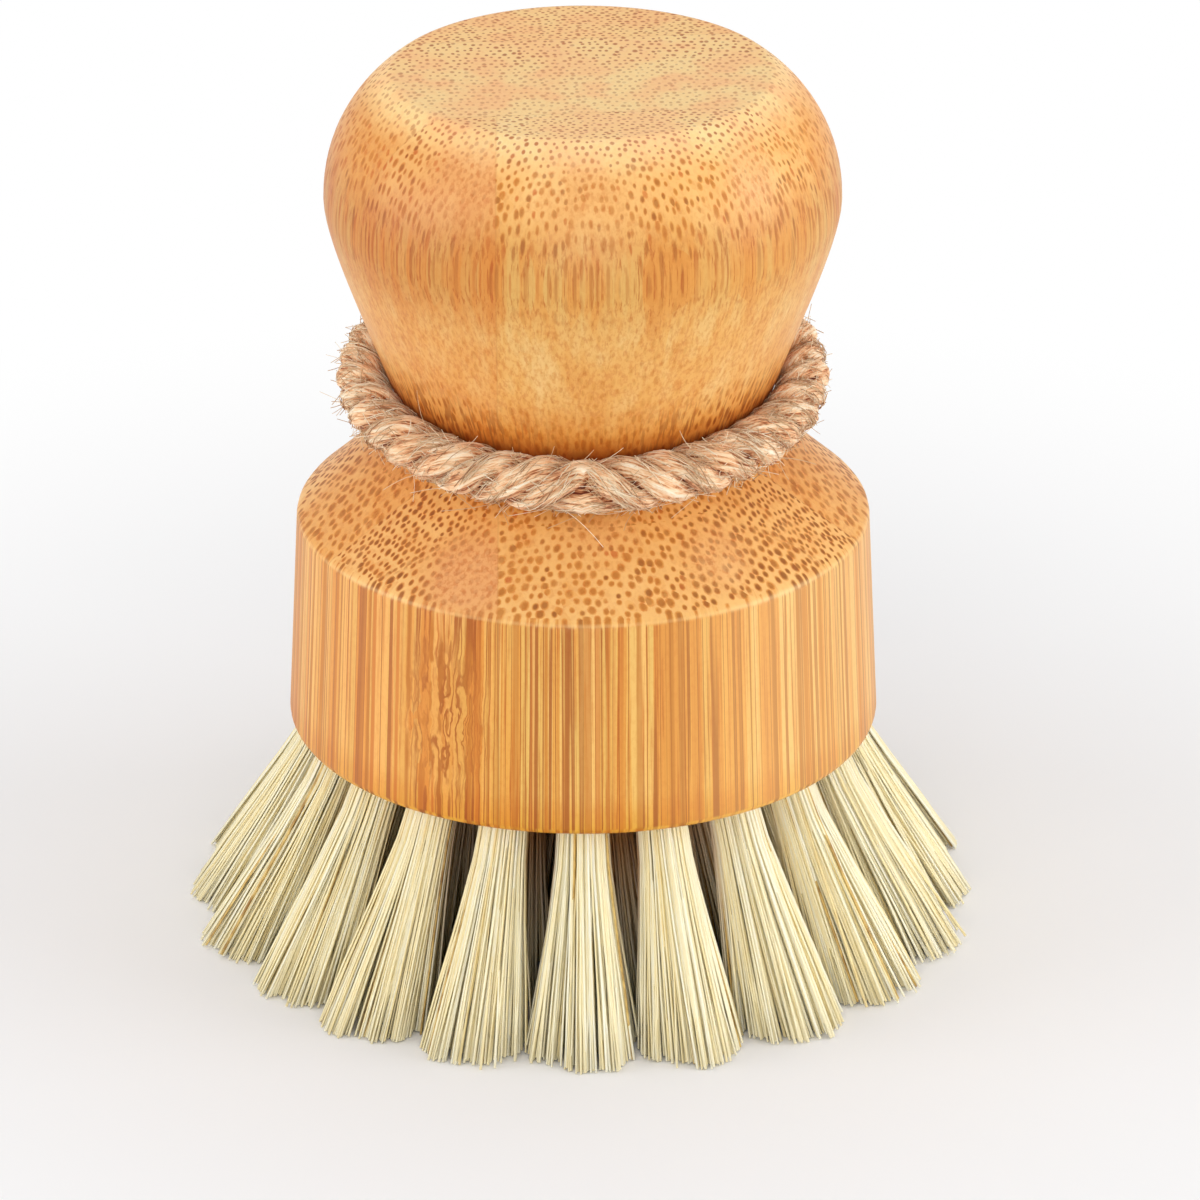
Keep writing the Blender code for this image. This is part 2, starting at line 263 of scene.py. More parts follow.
@dataclass
class Sweep:
    """Tubes swept along many lines at once, as one mesh with a tone for each tube."""

    sides: int = 3
    corners: list[np.ndarray] = field(default_factory=list)
    quads: list[np.ndarray] = field(default_factory=list)
    caps: list[np.ndarray] = field(default_factory=list)
    tones: list[np.ndarray] = field(default_factory=list)
    charts: list[np.ndarray] = field(default_factory=list)
    count: int = 0

    def add(self, lines: np.ndarray, radii: np.ndarray, tones: np.ndarray,
            outward: np.ndarray | None = None, skew: np.ndarray | float = 0.0) -> None:
        """Add tubes of equal length in points.

        Args:
            lines: Their middle lines, tube by point by axis, in metres.
            radii: Radius for each tube, point and side, or what spreads to that.
            tones: A tone for each tube, point and side, or what spreads to that.
            outward: Where each tube's middle side looks, tube by point by axis.
            skew: How far the chart has slid round each tube at each point, in millimetres.
        """
        tubes, points, _ = lines.shape
        tangent = unit(np.gradient(lines, axis=1))
        if outward is None:
            outward = np.broadcast_to(np.array([0.31, 0.87, 0.38]), lines.shape)
        first = square_to(outward, tangent)
        second = np.cross(tangent, first)
        turn = math.pi + 2 * math.pi * np.arange(self.sides) / self.sides
        ring = (np.cos(turn)[:, None] * first[:, :, None, :] + np.sin(turn)[:, None] * second[:, :, None, :])
        shape = (tubes, points, self.sides)
        corners = lines[:, :, None, :] + np.broadcast_to(radii, shape)[..., None] * ring
        index = self.count + np.arange(tubes * points * self.sides).reshape(shape)
        over = np.roll(index, -1, axis=2)
        self.quads.append(np.stack([index[:, :-1], over[:, :-1], over[:, 1:], index[:, 1:]],
                                   axis=-1).reshape(-1, 4))
        self.caps.append(np.concatenate([index[:, 0, ::-1], index[:, -1]]))
        length = np.concatenate([np.zeros((tubes, 1)), np.cumsum(
            np.linalg.norm(np.diff(lines, axis=1), axis=-1), axis=1)], axis=1) / MM
        girth = 2 * math.pi * float(np.mean(radii)) / MM
        u0, u1 = (np.broadcast_to(part[:, :, None], (tubes, points - 1, self.sides))
                  for part in (length[:, :-1], length[:, 1:]))
        v = np.broadcast_to(girth * np.arange(self.sides) / self.sides, u0.shape)
        skew = np.broadcast_to(skew, (tubes, points))[:, :, None]
        v0, v1, step = v + skew[:, :-1], v + skew[:, 1:], girth / self.sides
        self.charts.append(np.stack([u0, v0, u0, v0 + step, u1, v1 + step, u1, v1],
                                    axis=-1).reshape(-1, 2))
        self.tones.append(np.broadcast_to(tones, shape).reshape(-1))
        self.corners.append(corners.reshape(-1, 3))
        self.count += tubes * points * self.sides

    def add_fibres(self, lines: np.ndarray, radius: float, vary: tuple[float, float] | None,
                   tones: tuple[float, float], chance: np.random.Generator) -> None:
        """Add thin fibres, each with its own thickness and tone.

        Args:
            lines: Their middle lines, fibre by point by axis, in metres.
            radius: Their radius in metres.
            vary: The least and greatest share of the radius, or nothing where all are alike.
            tones: The least and greatest tone.
            chance: The source of the scatter.
        """
        thick: Any = radius
        if vary is not None:
            thick = radius * chance.uniform(*vary, len(lines))[:, None, None]
        self.add(lines, thick, chance.uniform(*tones, len(lines))[:, None, None])

    def piece(self, name: str) -> bpy.types.Object:
        """Make the tubes one object.

        Args:
            name: The piece's name.

        Returns:
            The new object, with its place in its mesh.
        """
        mesh = bpy.data.meshes.new(name)
        quads, caps = np.concatenate(self.quads), np.concatenate(self.caps)
        mesh.from_pydata(np.concatenate(self.corners).tolist(), [], quads.tolist() + caps.tolist())
        mesh.attributes.new("tone", "FLOAT", "POINT").data.foreach_set(
            "value", np.concatenate(self.tones).astype(np.float32))
        chart = np.concatenate(self.charts + [np.zeros((caps.size, 2))])
        mesh.uv_layers.new(name="UVMap").data.foreach_set("uv", chart.astype(np.float32).ravel())
        mesh.shade_smooth()
        piece = bpy.data.objects.new(name, mesh)
        bpy.context.scene.collection.objects.link(piece)
        return piece


@dataclass(frozen=True)
class LaminatedBamboo:
    """Strips of bamboo glued side by side, turned, sanded and oiled.

    The vascular bundles run along Z, so that one pattern in X and Y gives the eye brown dots in a
    pale net on the top and the shoulder, where they are cut across, and straight orange streaks
    down the sides, where they are cut along.
    """

    straw: str = "#EDC27C"
    ground: str = "#EEAC5C"
    pale: str = "#F8C684"
    deep: str = "#E29A4C"
    flat_top: str = "#FFEAB8"
    flat_pink: str = "#FFD0A2"
    net: str = "#FFD694"
    bundle: str = "#C07A30"
    bundle_dark: str = "#8E501C"
    bundle_warm: str = "#A8501A"
    streak: str = "#C47A30"
    streak_dark: str = "#AE6224"
    red_streak: str = "#D07036"
    glue_line: str = "#B06C34"
    pink: str = "#F8CEA8"
    # Landmarks in millimetres: where the base ends, where the flat top begins, the rim's own height,
    # the radius that the base is held to and the least radius that is
    base_edge: tuple[float, float] = (46.8, 46.2)
    top_edge: tuple[float, float] = (92.5, 95.8)
    rim: float = 46.42
    held_radius: float = 31.0
    least_radius: float = 30.2
    # The node scar: its middle, and how steeply it fades along X, Y and Z
    scar_middle: tuple[float, float, float] = (-14.5, -28.0, 34.5)
    scar_fade: tuple[float, float, float] = (0.17, 0.10, 0.085)
    scar_tint: str = "#E2A660"
    layer_lines: tuple[float, float] = (-12.3, 9.7)
    layer_slope: float = 0.096
    front_seam: float = -8.8
    seam_step: float = 6.4
    # The finest real bundles stand closer than this; they are drawn coarser, so that they show
    fine_pitch: float = 0.92
    coarse_pitch: float = 1.16
    row_ratio: tuple[float, float] = (1.45, 0.95)
    row_slide: float = 0.5
    # Places where the bundles show less: X, Y, Z and reach in millimetres, and how much less
    patches: tuple[tuple[float, float, float, float, float], ...] = (
        (-12.0, -25.0, 49.5, 7.5, 0.80), (-11.5, -20.5, 91.0, 8.0, 0.66), (17.0, -17.5, 91.4, 5.0, 0.60),
        (14.5, -22.5, 51.0, 5.5, 0.50), (1.5, -22.5, 54.5, 5.5, 0.35), (1.0, -23.0, 90.0, 9.0, 0.30))

    def material(self) -> bpy.types.Material:
        """Build the material; its lengths are in millimetres.

        Returns:
            The bamboo.
        """
        material, node, shader = new_material("laminated_bamboo")
        place = node(COORDINATES)
        mm = node(MAPPING, place.outputs["Object"], {"Scale": (1 / MM, 1 / MM, 1 / MM)})
        x, y, z = node(SPLIT, mm).outputs
        aside = node(ABSOLUTE, x)

        # Down the sides each column keeps its place, although the base tapers a little
        radius = node(MAXIMUM, node(LENGTH, node(JOIN, x, y)), self.least_radius)
        hold = node(DIVIDE, self.held_radius, radius)
        held = node(STRETCH, mm, node(JOIN, hold, hold, 1.0))

        # The grain wanders a little, and more round the node scar on the left strip
        slow = node(NOISE, node(MAPPING, mm, {"Scale": (0.12, 0.12, 0.005)}), 1.0, 2.0)
        quick = node(NOISE, node(MAPPING, mm, {"Scale": (0.55, 0.55, 0.26)}), 1.0, 3.0)
        from_scar = node(MOVE, mm, tuple(-part for part in self.scar_middle))
        scar = node(SMOOTH, node(LENGTH, node(STRETCH, from_scar, self.scar_fade)), 1.1, 0.2)
        left = node(RANGE, x, self.front_seam + 0.1, self.front_seam - 0.1)
        left_scar = node(MULTIPLY, scar, left)
        shifts = [node(SCALE, node(MOVE, noise.outputs["Color"], (-0.5, -0.5, -0.5)), size)
                  for noise, size in ((slow, 1.2), (quick, node(MULTIPLY, left_scar, 2.2)))]
        grain = node(MOVE, held, node(MOVE, *shifts))
        grain_x, grain_y, _ = node(SPLIT, grain).outputs

        # How far a face is cut across the grain: none on the sides, all on the top and the shoulder
        across = node(SMOOTH, node(ABSOLUTE, node(SPLIT, place.outputs["Normal"]).outputs["Z"]), 0.12, 0.48)
        along = node(SUBTRACT, 1.0, across)
        on_top = node(SMOOTH, z, *self.top_edge)
        on_base = node(RANGE, z, *self.base_edge)
        scarred = node(MULTIPLY, left_scar, on_base)
        off_scar = node(SUBTRACT, on_base, scarred)

        # Layers along Y, a little askew, each with its own butt seam across X
        deep_in = node(MULTIPLY_ADD, x, -self.layer_slope, y)
        past_front, past_back = (node(GREATER, deep_in, line) for line in self.layer_lines)
        middle = node(SUBTRACT, past_front, past_back)
        layer = node(ADD, past_front, past_back)
        from_seam = node(SUBTRACT, x, node(MULTIPLY_ADD, layer, self.seam_step, self.front_seam))
        strip = node(MULTIPLY_ADD, layer, 2.0, node(GREATER, from_seam, 0.0))
        strip_tone = node(RAMP, node(DIVIDE, node(ADD, strip, 0.5), 6.0), stops=(
            (0.0, "#FBEEE4"), (0.166, "#FFFFFF"), (0.333, "#FFF8F0"), (0.5, "#FFFCF6"),
            (0.666, "#FCEEE2"), (0.833, "#F9E9DC")))
        strip_tone.color_ramp.interpolation = "CONSTANT"
        from_front, from_back, from_butt = (
            node(ABSOLUTE, node(SUBTRACT, value, at))
            for value, at in zip((deep_in, deep_in, from_seam), (*self.layer_lines, 0.0)))
        nearest = node(MINIMUM, node(MINIMUM, from_front, from_back),
                       node(MULTIPLY_ADD, layer, 9.0, from_butt))
        glue = node(MULTIPLY, node(RANGE, nearest, 0.15, 0.04), node(RANGE, on_base, 0.0, 1.0, 0.14, 0.6))

        # Bundles crowd together towards the back of each layer, which was the outside of the cane
        to_back = node(BETWEEN, past_front, from_front, from_back)
        crowd_at = node(SUBTRACT, node(ADD, to_back, node(MULTIPLY_ADD, slow, 5.0, -2.5)),
                        node(MULTIPLY_ADD, middle, -4.0, 7.0))
        crowded = node(MAXIMUM, node(RANGE, crowd_at, 0.5, -0.5), past_back)
        crowded = node(MAXIMUM, crowded, node(GREATER, z, 54.0))
        finer = node(RANGE, z, 50.0, 57.0, 1.0, 1.22)
        rows_y = node(MULTIPLY, grain_y, node(RANGE, middle, 0.0, 1.0, *self.row_ratio))
        bricks = node(JOIN, grain_x, rows_y)
        bundles = []
        for pitch, edge, core in ((self.coarse_pitch, 0.36, 0.16), (self.fine_pitch, 0.37, 0.16)):
            # They stand like bricks, closer from front to back than from side to side
            brick_x, brick_y, _ = node(SPLIT, node(STRETCH, bricks, (1 / pitch, 1 / pitch, 0.0))).outputs
            rows = node(JOIN, node(MULTIPLY_ADD, brick_y, self.row_slide, brick_x), brick_y)
            cell = node(CELLS, rows, 1.0, {"Randomness": 0.55})
            off_x, off_y, _ = node(SPLIT, node(APART, rows, cell.outputs["Position"])).outputs
            off = node(LENGTH, node(JOIN, node(MULTIPLY_ADD, off_y, -self.row_slide, off_x),
                                    node(MULTIPLY, off_y, 0.8)))
            lot = cell.outputs["Color"]
            size = node(MULTIPLY_ADD, node(SPLIT_COLOUR, lot).outputs["Blue"], 0.7, 0.75)
            near = node(MULTIPLY, off, node(MULTIPLY, size, finer))
            ring = node(SMOOTH, near, edge - 0.06, edge + 0.08)
            bundles.append((node(SMOOTH, near, edge, core), ring, lot))
        dot, net, lot = (node(kind, crowded, coarse, fine)
                         for kind, coarse, fine in zip((BETWEEN, BETWEEN, BLEND), *bundles))
        first_lot, second_lot, _ = node(SPLIT_COLOUR, lot).outputs

        # How strongly they show: by height, by layer, by patch and each by its own chance
        height = node(RANGE, z, 23.0, 96.2)
        strength = node(RAMP, height, stops=(
            (0.0, "#D8D8D8"), (0.315, "#D8D8D8"), (0.325, "#F8F8F8"), (0.42, "#F0F0F0"), (0.50, "#D8D8D8"),
            (0.56, "#A8A8A8"), (0.62, "#707070"), (0.70, "#707070"), (0.76, "#848484"), (0.86, "#E4E4E4"),
            (1.0, "#F8F8F8")))
        # Short dark marks gather over the twine at both sides: bundles in the grain, darkened there as
        # painted shade by the twine
        gathered = node(MULTIPLY, node(RANGE, z, 70.0, 63.0), node(RANGE, aside, 7.0, 13.0))
        plain: Any = 0.0
        for patch_x, patch_y, patch_z, far, change in self.patches:
            away = node(DISTANCE, mm, (patch_x, patch_y, patch_z))
            fall = node(SMOOTH, away, far, far * 0.3, 0.0, change)
            if patch_x < self.front_seam:
                fall = node(MULTIPLY, fall, left)
            plain = node(ADD, fall, plain, use_clamp=True)
        worn = node(MULTIPLY, node(SMOOTH, from_back, 4.0, 12.0, 0.0, 0.42), node(MULTIPLY, middle, across))
        cloud = node(NOISE, node(MAPPING, mm, (31.0, 7.0, 3.0), {"Scale": (0.20, 0.20, 0.08)}), 1.0, 2.0)
        clouded = node(RANGE, cloud, 0.34, 0.50, 0.75)
        faint = node(RANGE, first_lot, 0.0, 0.35, 0.6)
        strength = node(MAXIMUM, strength, gathered)
        for share in (node(SUBTRACT, 1.0, plain), node(SUBTRACT, 1.0, worn), node(MULTIPLY, clouded, faint)):
            strength = node(MULTIPLY, strength, share)

        # Ground tissue: columns with straight edges, broad bands, fine fibres and a few red streaks
        wide_tone, narrow_tone = (
            node(SPLIT_COLOUR, node(CELLS, grain, 1 / width).outputs["Color"]).outputs["Red"]
            for width in (1.7, 0.7))
        band = node(NOISE, node(MAPPING, grain, {"Scale": (0.35, 0.35, 0.015)}), 1.0, 2.0, 0.6)
        fibre = node(NOISE, node(MAPPING, grain, {"Scale": (3.4, 3.4, 0.05)}), 1.0, 3.0, 0.65)
        columns = node(MULTIPLY_ADD, narrow_tone, 0.24,
                       node(ADD, node(MULTIPLY_ADD, wide_tone, 0.46, -0.23), -0.09))
        banded = node(MULTIPLY, node(ADD, band, -0.5), node(RANGE, on_base, 0.0, 1.0, 0.4, 0.8))
        column_share = node(MULTIPLY, along, node(RANGE, on_base, 0.0, 1.0, 0.3))
        tone = node(ADD, node(MULTIPLY_ADD, columns, column_share, banded), 0.5)
        colour = node(RAMP, tone, stops=(
            (0.32, self.deep), (0.45, self.ground), (0.58, self.straw), (0.70, self.pale)))
        even = node(RAMP, tone, stops=((0.36, self.deep), (0.50, self.ground), (0.62, self.pale)))
        # Painted light: the flat top is paler and pinker, as the face turned up to the lamps
        flat = node(BLEND, node(RANGE, cloud, 0.40, 0.60), self.flat_pink, self.flat_top)
        fibre_tone = node(RAMP, fibre, stops=((0.34, "#D8A470"), (0.48, "#FFFFFF"), (0.70, "#FFFFFF")))
        red = node(NOISE, node(MAPPING, grain, (9.0, 2.0, 0.0), {"Scale": (1.8, 1.8, 0.004)}), 1.0, 1.0)
        # Each layer of colour is laid over those before it: how, where and what colour
        layers: list[tuple[Kind, Any, Any]] = [
            (BLEND, across, even),
            (BLEND, node(MULTIPLY, on_top, 0.92), flat),
            (BLEND, node(MULTIPLY, plain, 0.6), self.pink),
            (TINT, node(RANGE, across, 0.0, 1.0, 0.8, 0.16), fibre_tone),
            (BLEND, node(MULTIPLY, node(RANGE, red, 0.66, 0.69, 0.0, 0.22), off_scar), self.red_streak),
            (BLEND, node(MULTIPLY, scarred, 0.45), self.scar_tint)]
        for scale, fold, wide, most, where in (((1.1, 1.1, 0.003), 0.13, 0.042, 0.9, off_scar),
                                               ((0.55, 0.55, 0.03), 0.060, 0.024, 0.85, scarred)):
            lines = node(NOISE, node(MAPPING, grain, (5.0, 1.0, 0.0), {"Scale": scale}), 1.0, 1.0)
            lines = node(RANGE, node(PINGPONG, lines, fold), wide, wide * 0.4)
            layers.append((BLEND, node(MULTIPLY, lines, node(MULTIPLY, where, most)), self.streak_dark))
        mottle = node(NOISE, node(MAPPING, mm, {"Scale": (2.3, 2.3, 1.3)}), 1.0, 2.0, 0.6)
        mottle_tone = node(RAMP, mottle, stops=((0.38, "#E6B886"), (0.52, "#FFFFFF"), (0.70, "#FFFFFF")))
        mottle_share = node(RANGE, node(MULTIPLY_ADD, on_top, -0.9, across), 0.0, 1.0, 0.15, 0.55)

        # The bundles: a pale net round them, brown cut across and orange cut along
        net_share = node(MULTIPLY, node(MULTIPLY, net, node(MULTIPLY, strength, 0.7)), across)
        cut_across = node(RAMP, second_lot, stops=(
            (0.0, self.bundle_dark), (0.40, self.bundle), (0.88, self.bundle), (0.95, self.red_streak)))
        cut_along = node(RAMP, second_lot, stops=(
            (0.0, self.streak_dark), (0.5, self.streak), (0.90, "#D4803C")))
        cut_across = node(BLEND, node(MULTIPLY, on_top, 0.75), cut_across, self.bundle_warm)
        cut_across = node(BLEND, node(MULTIPLY, gathered, 0.85), cut_across, self.bundle_dark)
        dot_share = node(MULTIPLY, node(MULTIPLY, dot, strength), node(RANGE, across, 0.0, 1.0, 1.0, 0.90))

        # Painted light and shade by height: gold shade on the turned foot, deep shade at the waist under the
        # twine, and paler on the neck
        height_light_and_shade = node(RAMP, height, stops=(
            (0.0, "#E8D474"), (0.030, "#EEDCA0"), (0.060, "#F6F2D4"), (0.31, "#F5F1DC"),
            (0.335, "#F6ECDA"), (0.42, "#F4E0C2"), (0.50, "#E6C490"), (0.55, "#E8CC98"), (0.62, "#F2F2E6"),
            (0.72, "#F0F6F0"), (0.79, "#E6DCBE"), (0.87, "#E7D8B8"), (0.92, "#F5EBD6"), (1.0, "#FFF9EC")))
        # Painted shade on the middle of the base's front, and painted light on its flanks
        front_shade = node(MULTIPLY, node(RANGE, aside, 18.0, 9.0), on_base)
        flank_light = node(ADD, node(RANGE, x, 5.0, 19.0, 0.0, 0.26), node(RANGE, x, -15.0, -27.0, 0.0, 0.14))
        # Painted contact shadow on the neck just over the twine, following the loop's tilt
        over_twine = node(MULTIPLY_ADD, y, -0.114, z)
        twine_shadow = node(MULTIPLY, node(RANGE, over_twine, 66.4, 63.2, 0.0, 0.80), node(RANGE, z, 56.4, 57.8))
        # Short dark strokes stand over the twine at both sides: marks in the grain, and painted shade by the
        # twine
        turn = node(TURN, x, node(MULTIPLY, y, -1.0))
        dark_strokes = node(NOISE, node(JOIN, node(MULTIPLY, turn, 48.0), node(MULTIPLY, z, 0.24)), 1.0, 2.0,
                    noise_dimensions="2D")
        strokes_and_shade_at = node(MULTIPLY, node(RANGE, over_twine, 70.0, 65.5), node(RANGE, z, 56.8, 58.0))
        strokes_and_shade_at = node(MULTIPLY, strokes_and_shade_at, node(RANGE, aside, 3.0, 10.0, 0.25))
        knob_left = node(MULTIPLY, node(RANGE, x, -5.0, -17.0), node(RANGE, z, 74.0, 80.0))
        highlight_off_rim = node(ABSOLUTE, node(ADD, z, -self.rim))
        layers += [
            (TINT, 1.0, strip_tone),
            (TINT, mottle_share, mottle_tone),
            (BLEND, net_share, self.net),
            (BLEND, dot_share, node(BLEND, across, cut_along, cut_across)),
            (BLEND, glue, self.glue_line),
            (TINT, 1.0, height_light_and_shade),
            (TINT, node(MULTIPLY, on_base, left), "#FEFAEC"),
            (TINT, front_shade, "#FDFDEE"),
            (BLEND, node(MULTIPLY, flank_light, on_base), "#F8CC84"),
            (TINT, twine_shadow, "#CC9858"),
            (BLEND, node(MULTIPLY, node(RANGE, dark_strokes, 0.53, 0.60, 0.0, 0.85), strokes_and_shade_at), "#9A5620"),
            (TINT, node(MULTIPLY, knob_left, node(SUBTRACT, 1.0, on_top)), "#F3EADF"),
            # Painted highlight: a thin paler line along the rim's edge
            (BLEND, node(RANGE, highlight_off_rim, 0.24, 0.06, 0.0, 0.18), self.net)]
        for kind, share, over in layers:
            colour = node(kind, share, colour, over)

        relief = node(MULTIPLY_ADD, dot_share, -0.5, node(MULTIPLY, fibre, 0.35))
        fill(shader, {
            "Base Color": colour,
            "Roughness": node(MULTIPLY_ADD, dot_share, 0.15, 0.42),
            "Normal": node(BUMP, {"Height": relief, "Strength": 0.35, "Distance": 0.06 * MM}),
            "IOR": 1.5, "Specular IOR Level": 0.3, "Coat Weight": 0.05, "Coat Roughness": 0.3})
        return material


@dataclass(frozen=True)
class PlantFibre:
    """Stiff agave leaf fibre, combed, folded and trimmed, each with its own shade of cream."""

    shades: tuple[tuple[float, str], ...] = (
        (0.0, "#9A6E34"), (0.10, "#E2C074"), (0.35, "#FAE8B0"), (0.70, "#FFF4CC"), (1.0, "#FFFBE4"))
    crown_shade: str = "#A46C34"
    skirt: float = 0.0368
    skirt_slope: float = 0.46

    def material(self) -> bpy.types.Material:
        """Build the material; the tone of each fibre is an attribute.

        Returns:
            The plant fibre.
        """
        material, node, shader = new_material("plant_fibre_bristle")
        place = node(COORDINATES).outputs["Object"]
        mottle = node(NOISE, node(MAPPING, place, {"Scale": (900.0, 900.0, 260.0)}), 1.0, 2.0)
        shade = node(ADD, node(TONE).outputs["Fac"], node(MULTIPLY_ADD, mottle, 0.36, -0.18), use_clamp=True)
        # Painted shade: inside the crown, up by the roots, the fibres are tinted brown, and less so towards
        # the sides
        x, y, z = node(SPLIT, place).outputs
        skirt = node(MULTIPLY_ADD, z, self.skirt_slope, node(LENGTH, node(JOIN, x, y)))
        shaded = node(MULTIPLY, node(RANGE, skirt, self.skirt + 0.6 * MM, self.skirt - 1.6 * MM),
                      node(RANGE, z, 2 * MM, 17 * MM, 0.0, 0.95))
        shaded = node(MULTIPLY, shaded, node(RANGE, node(ABSOLUTE, x), 20 * MM, 10 * MM, 0.15))
        colour = node(TINT, shaded, node(RAMP, shade, stops=self.shades), self.crown_shade)
        fill(shader, {"Base Color": colour, "Roughness": 0.5, "IOR": 1.5, "Specular IOR Level": 0.35})
        return material


@dataclass(frozen=True)
class JuteYarn:
    """Jute, spun from coarse bast fibre: dull, pinkish tan, with pale fibres over dark gaps."""

    shades: tuple[tuple[float, str], ...] = (
        (0.0, "#6A2C14"), (0.20, "#B87044"), (0.40, "#EAB080"), (0.62, "#FAD4A8"), (1.0, "#FFF0D6"))

    def material(self) -> bpy.types.Material:
        """Build the material; the chart runs along the strand and round it, in millimetres.

        Returns:
            The spun jute.
        """
        material, node, shader = new_material("spun_jute")
        chart = node(CHART)
        fine = node(NOISE, node(MAPPING, chart, {"Scale": (0.5, 4.0, 1.0)}), 1.0, 4.0, 0.66,
                    {"Distortion": 0.5})
        broad = node(NOISE, node(MAPPING, chart, (7.0, 3.0, 0.0), {"Scale": (0.35, 0.8, 1.0)}), 1.0, 2.0)
        share = node(ADD, fine, node(MULTIPLY_ADD, broad, 0.45, -0.225))
        shade = node(ADD, node(RANGE, share, 0.29, 0.71), node(TONE).outputs["Fac"], use_clamp=True)
        bump = node(BUMP, {"Height": fine, "Strength": 0.9, "Distance": 0.25 * MM})
        fill(shader, {"Base Color": node(RAMP, shade, stops=self.shades), "Normal": bump, "Roughness": 0.88,
                      "IOR": 1.5, "Specular IOR Level": 0.2, "Sheen Weight": 0.15})
        return material


@dataclass(frozen=True)
class LooseJute:
    """Single jute fibres that have worked loose: pale straw that catches the light."""

    shades: tuple[tuple[float, str], ...] = ((0.0, "#A87650"), (0.5, "#DDB98E"), (1.0, "#FBEBCE"))

    def material(self) -> bpy.types.Material:
        """Build the material; the tone of each fibre is an attribute.

        Returns:
            The loose jute.
        """
        material, node, shader = new_material("loose_jute_fibre")
        mottle = node(NOISE, node(COORDINATES).outputs["Object"], 700.0, 1.0)
        shade = node(ADD, node(TONE).outputs["Fac"], node(MULTIPLY_ADD, mottle, 0.4, -0.2), use_clamp=True)
        fill(shader, {"Base Color": node(RAMP, shade, stops=self.shades), "Roughness": 0.7, "IOR": 1.5})
        return material


@dataclass(frozen=True)
class BlockOutline:
    """The turned outline of the block, with the driving sizes of the part, in metres."""

    underside: float = 0.0226
    foot_radius: float = 0.0318
    foot_round: float = 0.0011
    rim_radius: float = 0.0307
    rim_z: float = 0.0465
    rim_round: float = 0.0005
    waist_radius: float = 0.0194
    waist_z: float = 0.0576
    waist_round: float = 0.0010
    knob_radius: float = 0.0273
    belly_z: float = 0.0824
    top_radius: float = 0.0200
    top_z: float = 0.0962
    top_round: float = 0.0006
    waist_hold: float = 0.12
    belly_hold: float = 0.20
    dome_hold: float = 0.70
    shoulder_hold: float = 0.62
    inset: float = 0.0005

    def stretch(self, start: Vector, leave: Vector, arrive: Vector, end: Vector,
                steps: int) -> Iterator[Vector]:
        """Walk a cubic stretch of the outline.

        Args:
            start: Its first point, as radius and height.
            leave: The handle of its first point.
            arrive: The handle of its last point.
            end: Its last point.
            steps: How many points follow the first.

        Returns:
            The points after the first.
        """
        for step in range(1, steps + 1):
            yield cubic(start, leave, arrive, end, step / steps)

    def neck(self, steps: int) -> list[Vector]:
        """Draw the neck from the waist up to the widest ring.

        Args:
            steps: How many points follow the first.

        Returns:
            Its points, as radius and height.
        """
        waist, widest = Vector((self.waist_radius, self.waist_z)), Vector((self.knob_radius, self.belly_z))
        height = self.belly_z - self.waist_z
        return [waist, *self.stretch(waist, waist + Vector((0, self.waist_hold * height)),
                                     widest - Vector((0, self.belly_hold * height)), widest, steps)]

    def rings(self) -> list[Vector]:
        """Draw the whole outline, from the underside's edge to the top's edge.

        Returns:
            Every ring, as radius and height.
        """
        points = [Vector((self.foot_radius - self.foot_round * (1 - math.sin(math.radians(turn))),
                          self.underside + self.foot_round * (1 - math.cos(math.radians(turn)))))
                  for turn in range(0, 91, 15)]
        points.insert(0, points[0] - Vector((self.inset, 0)))
        rim = Vector((self.rim_radius, self.rim_z))
        waist = Vector((self.waist_radius, self.waist_z))
        corner = waist - Vector((0, self.waist_round))
        hold = rim.lerp(corner, 1 - self.shoulder_hold)
        foot_top = points[-1]
        slope = (hold - rim).normalized()
        low, high = rim + (foot_top - rim).normalized() * self.rim_round, rim + slope * self.rim_round
        points += [foot_top.lerp(low, share) for share in (0.02, 0.25, 0.5, 0.75, 0.98)]
        points += [low, low.lerp(rim, 0.5).lerp(rim.lerp(high, 0.5), 0.5), high]
        points += [p for p in self.stretch(rim, hold, corner, waist, 18) if p.y > high.y + 1e-4]
        points += self.neck(20)[1:]
        widest = Vector((self.knob_radius, self.belly_z))
        top = Vector((self.top_radius, self.top_z))
        hold = widest + Vector((0, self.dome_hold * (self.top_z - self.belly_z)))
        points += [p for p in self.stretch(widest, hold, top, top, 24)
                   if (p - top).length > self.top_round]
        before, after = points[-1], top - Vector((self.top_round, 0))
        points += [before.lerp(top, t).lerp(top.lerp(after, t), t) for t in (0.2, 0.4, 0.6, 0.8, 1.0)]
        points.append(after - Vector((self.inset, 0)))
        return points

    def neck_radius(self, height: np.ndarray | float) -> np.ndarray | float:
        """Radius of the neck at a height between the waist and the widest ring."""
        points = self.neck(40)
        return np.interp(height, [p.y for p in points], [p.x for p in points])


@dataclass(frozen=True)
class TuftRing:
    """One ring of tufts round the axis."""

    name: str
    count: int
    radius: float
    tilt: float
    spread: float
    fibres: int
    mouth: float = 0.0230

    def seats(self) -> Iterator[tuple[str, Matrix]]:
        """Go round the tufts.

        Returns:
            Name and place of each, with +X outwards and the origin at the hole's mouth.
        """
        for number in range(self.count):
            turn = Matrix.Rotation(2 * math.pi * number / self.count, 4, "Z")
            label = self.name if self.count == 1 else f"{self.name}_{number + 1:02d}"
            yield label, turn @ Matrix.Translation((self.radius, 0, self.mouth))


class Ring(Enum):
    """The rings of tufts, from the outside in."""

    OUTER = TuftRing("outer", 20, 0.0262, math.radians(21), math.radians(25.5), 680)
    MIDDLE = TuftRing("middle", 13, 0.0176, math.radians(14), math.radians(17), 170)
    INNER = TuftRing("inner", 7, 0.0094, math.radians(7), math.radians(9), 150)
    CENTRE = TuftRing("centre", 1, 0.0, 0.0, 0.0, 150)


